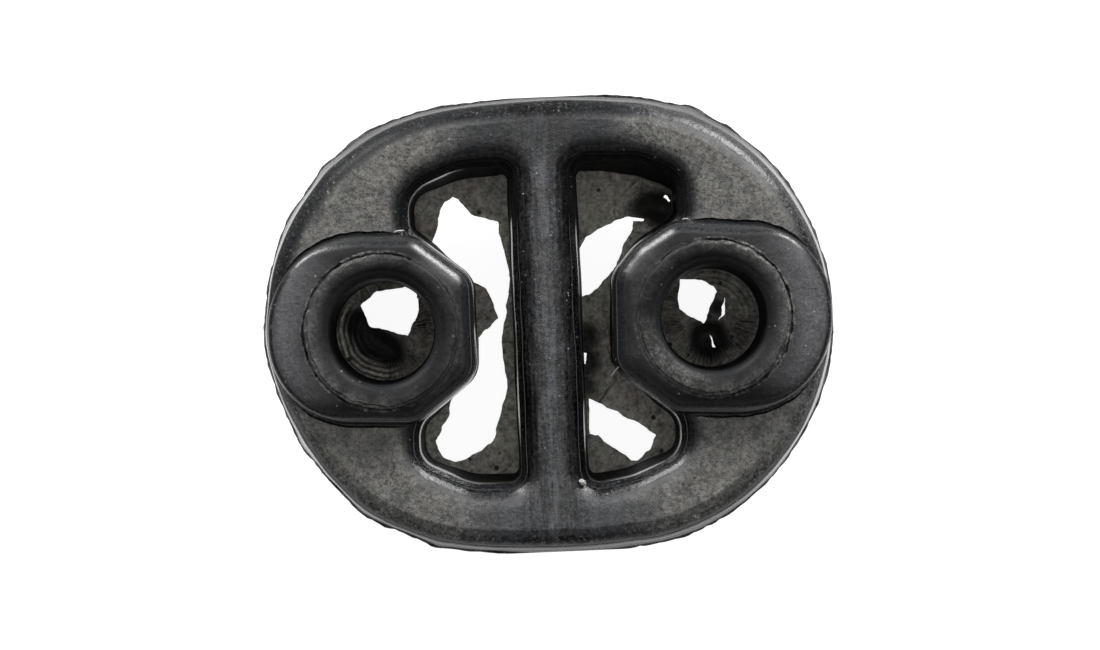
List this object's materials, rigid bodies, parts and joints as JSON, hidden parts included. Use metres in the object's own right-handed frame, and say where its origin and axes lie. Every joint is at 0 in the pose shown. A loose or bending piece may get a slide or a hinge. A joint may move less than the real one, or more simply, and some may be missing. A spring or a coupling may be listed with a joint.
{
  "type": "exhaust hanger",
  "caption": "Oval moulded rubber hanger with raised round-collared bores, a rounded web between two C-shaped pockets, and torn moulding film.",
  "frame": {"origin": "middle of the web on the parting plane, which is the centre of the overall box", "axes": "+X through both bores, +Y across them along the web, +Z along the bores towards the face seen in the picture, with the part lying on its rear collars"},
  "size_m": [0.064, 0.051, 0.036],
  "materials": {
    "rubber": "matt black moulded rubber with a faint waxy sheen, dust and small moulding flaws"
  },
  "bodies": {
    "root": {"hanger_body": "rubber"}
  },
  "joints": []
}
